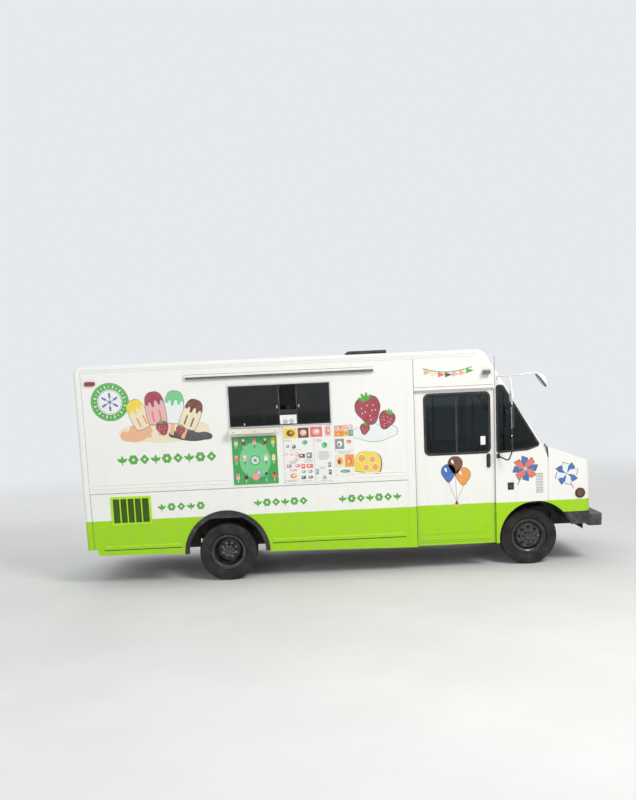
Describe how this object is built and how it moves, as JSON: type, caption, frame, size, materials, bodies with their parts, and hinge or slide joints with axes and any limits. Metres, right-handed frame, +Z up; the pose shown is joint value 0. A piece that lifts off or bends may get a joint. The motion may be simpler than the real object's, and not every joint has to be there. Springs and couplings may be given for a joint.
{
  "type": "ice cream truck",
  "caption": "Walk-in step van fitted out to sell ice cream, with a side serving window, sliding cab doors, hinged rear doors and hood, twin rear wheels.",
  "frame": {"origin": "On the ground under the middle of the overall box.", "axes": "+X points forward, +Y to the left of the vehicle and +Z up; the serving side is at negative Y."},
  "size_m": [6.763, 3.11, 2.916],
  "materials": {
    "body_white": "glossy off-white paint, slightly weathered",
    "body_two_tone": "off-white paint over a lime green lower band",
    "lime_paint": "glossy lime green paint",
    "chassis_black": "black chassis paint",
    "axle_iron": "dark cast iron",
    "engine_iron": "dull cast iron",
    "spring_steel": "dark spring steel",
    "exhaust_steel": "heat-stained steel",
    "tank_steel": "dark satin paint",
    "rim_paint": "black satin rim paint",
    "tyre_rubber": "black tread rubber",
    "flare_rubber": "matt black rubber",
    "bumper_black": "satin black paint",
    "floor_metal": "ribbed aluminium sheet",
    "clear_glass": "dark tinted glass",
    "window_metal": "dark anodised aluminium",
    "ledge_metal": "white-painted steel sheet",
    "board_white": "printed board",
    "hatch_black": "black moulded plastic",
    "mirror_white": "white painted steel",
    "cab_trim": "dark grained plastic",
    "seat_vinyl": "dark seat vinyl",
    "kitchen_steel": "brushed stainless steel",
    "freezer_white": "white appliance enamel",
    "lamp_clear": "clear lamp glass",
    "lamp_colour": "red and amber lamp lenses"
  },
  "bodies": {
    "van": {"chassis_frame": "chassis_black", "engine": "engine_iron", "front_axle": "axle_iron", "rear_axle": "axle_iron", "leaf_springs": "spring_steel", "drive_shaft": "axle_iron", "exhaust": "exhaust_steel", "fuel_tank": "tank_steel", "front_bumper": "bumper_black", "floor": "floor_metal", "right_wall": "body_white", "left_wall": "body_white", "right_skirt": "body_two_tone", "left_skirt": "body_two_tone", "roof": "body_white", "rear_frame": "body_two_tone", "cab_front": "body_two_tone", "cab_glass": "clear_glass", "nose": "body_two_tone", "grille": "bumper_black", "serving_window": "window_metal", "serving_glass": "clear_glass", "serving_ledge": "ledge_metal", "menu_boards": "board_white", "window_cassette": "body_white", "vent_grille": "lime_paint", "wheel_flares": "flare_rubber", "mirrors": "mirror_white", "hatch_frame": "hatch_black", "engine_cover": "cab_trim", "dashboard": "cab_trim", "steering_wheel": "cab_trim", "driver_seat": "seat_vinyl", "counter": "kitchen_steel", "soft_serve_machine": "kitchen_steel", "freezer": "freezer_white", "head_lamps": "lamp_clear", "marker_lamps": "lamp_colour"},
    "right_door": {"right_door": "body_two_tone", "door_glass_right": "clear_glass"},
    "left_door": {"left_door": "body_two_tone", "door_glass_left": "clear_glass"},
    "rear_door_right": {"rear_door_right": "body_two_tone", "rear_glass_right": "clear_glass"},
    "rear_door_left": {"rear_door_left": "body_two_tone", "rear_glass_left": "clear_glass"},
    "hood": {"hood": "body_white"},
    "hatch_lid": {"hatch_lid": "hatch_black"},
    "knuckle_right": {"knuckle_right": "axle_iron"},
    "knuckle_left": {"knuckle_left": "axle_iron"},
    "tie_rod": {"tie_rod": "axle_iron"},
    "front_wheel_right": {"front_rim_right": "rim_paint", "front_tyre_right": "tyre_rubber"},
    "front_wheel_left": {"front_rim_left": "rim_paint", "front_tyre_left": "tyre_rubber"},
    "rear_wheels_right": {"rear_rims_right": "rim_paint", "rear_tyres_right": "tyre_rubber"},
    "rear_wheels_left": {"rear_rims_left": "rim_paint", "rear_tyres_left": "tyre_rubber"}
  },
  "joints": [
    {"name": "right_door_slide", "type": "slide", "parent": "van", "child": "right_door", "axis": [-1, 0, 0], "range_m": [0, 0.9]},
    {"name": "left_door_slide", "type": "slide", "parent": "van", "child": "left_door", "axis": [-1, 0, 0], "range_m": [0, 0.9]},
    {"name": "rear_door_right_hinge", "type": "hinge", "parent": "van", "child": "rear_door_right", "pos_m": [-3.3715, -0.7275, 1.69], "axis": [0, 0, 1], "range_deg": [0, 170]},
    {"name": "rear_door_left_hinge", "type": "hinge", "parent": "van", "child": "rear_door_left", "pos_m": [-3.3715, 0.7275, 1.69], "axis": [0, 0, -1], "range_deg": [0, 170]},
    {"name": "hood_hinge", "type": "hinge", "parent": "van", "child": "hood", "pos_m": [2.6605, 0, 1.58], "axis": [0, -1, 0], "range_deg": [0, 50]},
    {"name": "hatch_hinge", "type": "hinge", "parent": "van", "child": "hatch_lid", "pos_m": [0.1445, 0, 2.891], "axis": [0, -1, 0], "range_deg": [0, 60]},
    {"name": "steer_right", "type": "hinge", "parent": "van", "child": "knuckle_right", "pos_m": [2.4425, -0.76, 0.375], "axis": [0, 0, 1], "range_deg": [-35, 35]},
    {"name": "steer_left", "type": "hinge", "parent": "van", "child": "knuckle_left", "pos_m": [2.4425, 0.76, 0.375], "axis": [0, 0, 1], "range_deg": [-35, 35]},
    {"name": "tie_rod_swing", "type": "hinge", "parent": "knuckle_right", "child": "tie_rod", "pos_m": [2.3025, -0.76, 0.282], "axis": [0, 0, 1], "range_deg": [-35, 35]},
    {"name": "front_right_spin", "type": "hinge", "parent": "knuckle_right", "child": "front_wheel_right", "pos_m": [2.4425, -0.862, 0.375], "axis": [0, 1, 0], "continuous": true},
    {"name": "front_left_spin", "type": "hinge", "parent": "knuckle_left", "child": "front_wheel_left", "pos_m": [2.4425, 0.862, 0.375], "axis": [0, 1, 0], "continuous": true},
    {"name": "rear_right_spin", "type": "hinge", "parent": "van", "child": "rear_wheels_right", "pos_m": [-1.5455, -0.8775, 0.375], "axis": [0, 1, 0], "continuous": true},
    {"name": "rear_left_spin", "type": "hinge", "parent": "van", "child": "rear_wheels_left", "pos_m": [-1.5455, 0.8775, 0.375], "axis": [0, 1, 0], "continuous": true}
  ],
  "couplings": [
    {"joint": "steer_left", "follows": "steer_right", "ratio": 1},
    {"joint": "tie_rod_swing", "follows": "steer_right", "ratio": -1}
  ]
}
